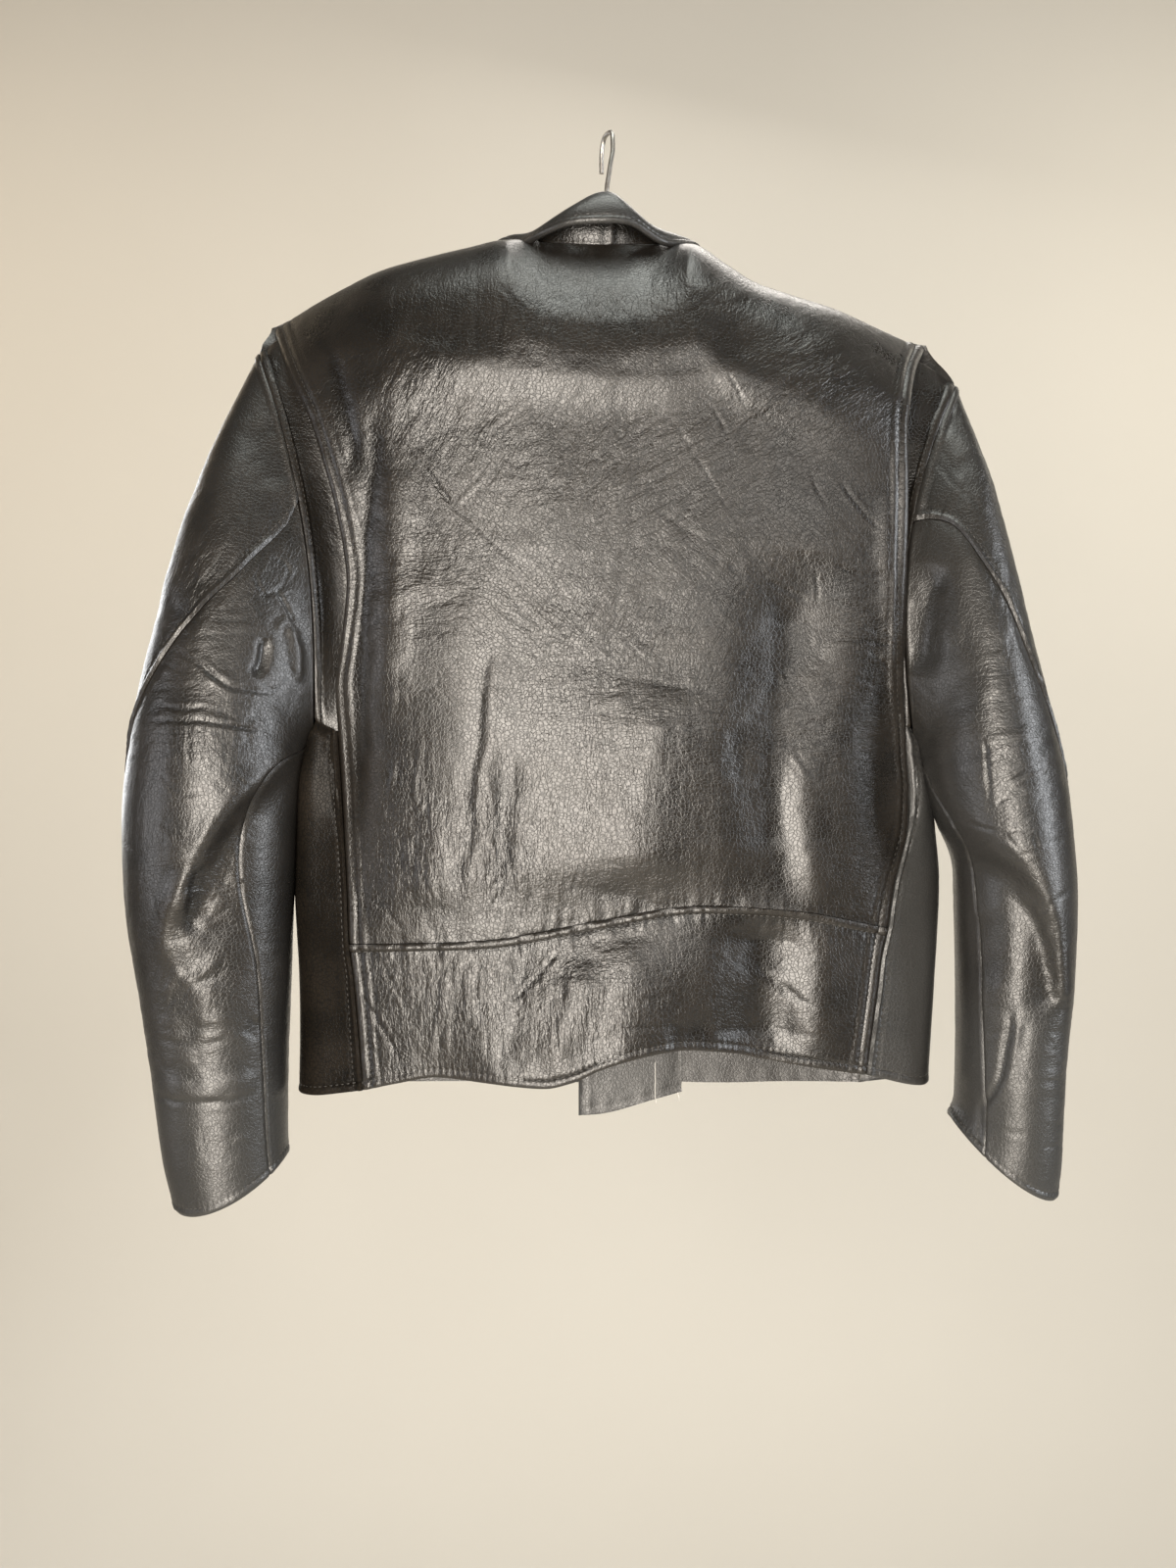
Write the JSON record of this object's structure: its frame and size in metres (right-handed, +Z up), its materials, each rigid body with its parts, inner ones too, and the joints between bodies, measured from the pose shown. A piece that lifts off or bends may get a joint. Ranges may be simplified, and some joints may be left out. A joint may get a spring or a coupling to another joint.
{
  "type": "leather motorcycle jacket on a hanger",
  "caption": "Worn black leather motorcycle jacket seen from behind, filled out and hollow, on a wooden hanger with a wire hook; open neck, hem and cuffs.",
  "frame": {"origin": "the underside of the hook's arch, where the hanger rests on a rail or a door", "axes": "+Z up; +X towards the wearer's right sleeve; +Y towards the front, so the back faces -Y"},
  "size_m": [0.6613, 0.1526, 0.7852],
  "materials": {
    "leather": "worn black leather with a fine pebbled grain, semi-gloss",
    "zip_metal": "worn nickel-plated zip",
    "hook_steel": "bright plated wire",
    "hanger_wood": "plain satin varnish"
  },
  "bodies": {
    "jacket": {"back_panel": "leather", "back_waistband": "leather", "collar_fall": "leather", "collar_stand": "leather", "cuff_zip_left_chain": "zip_metal", "cuff_zip_left_slider": "zip_metal", "cuff_zip_right_chain": "zip_metal", "cuff_zip_right_slider": "zip_metal", "front_left": "leather", "front_right": "leather", "front_zip_chain": "zip_metal", "front_zip_slider": "zip_metal", "gusset_left": "leather", "gusset_right": "leather", "hanger_bar": "hanger_wood", "hanger_hook": "hook_steel", "lapel_left": "leather", "lapel_right": "leather", "side_panel_left": "leather", "side_panel_right": "leather", "sleeve_left_under": "leather", "sleeve_left_upper": "leather", "sleeve_right_under": "leather", "sleeve_right_upper": "leather", "underlap": "leather"},
    "front_pull": {"front_zip_pull": "zip_metal"},
    "left_cuff_pull": {"cuff_zip_left_pull": "zip_metal"},
    "right_cuff_pull": {"cuff_zip_right_pull": "zip_metal"}
  },
  "joints": [
    {"name": "front_pull_hinge", "type": "hinge", "parent": "jacket", "child": "front_pull", "pos_m": [0.0343, -0.006, -0.361], "axis": [1, 0, 0], "range_deg": [0, 150]},
    {"name": "left_cuff_pull_hinge", "type": "hinge", "parent": "jacket", "child": "left_cuff_pull", "pos_m": [-0.31492, -0.04036, -0.75052], "axis": [0.4143, 0.903, 0.1141], "range_deg": [0, 150]},
    {"name": "right_cuff_pull_hinge", "type": "hinge", "parent": "jacket", "child": "right_cuff_pull", "pos_m": [0.32076, -0.03919, -0.74421], "axis": [0.3444, -0.9375, -0.0501], "range_deg": [0, 150]}
  ]
}
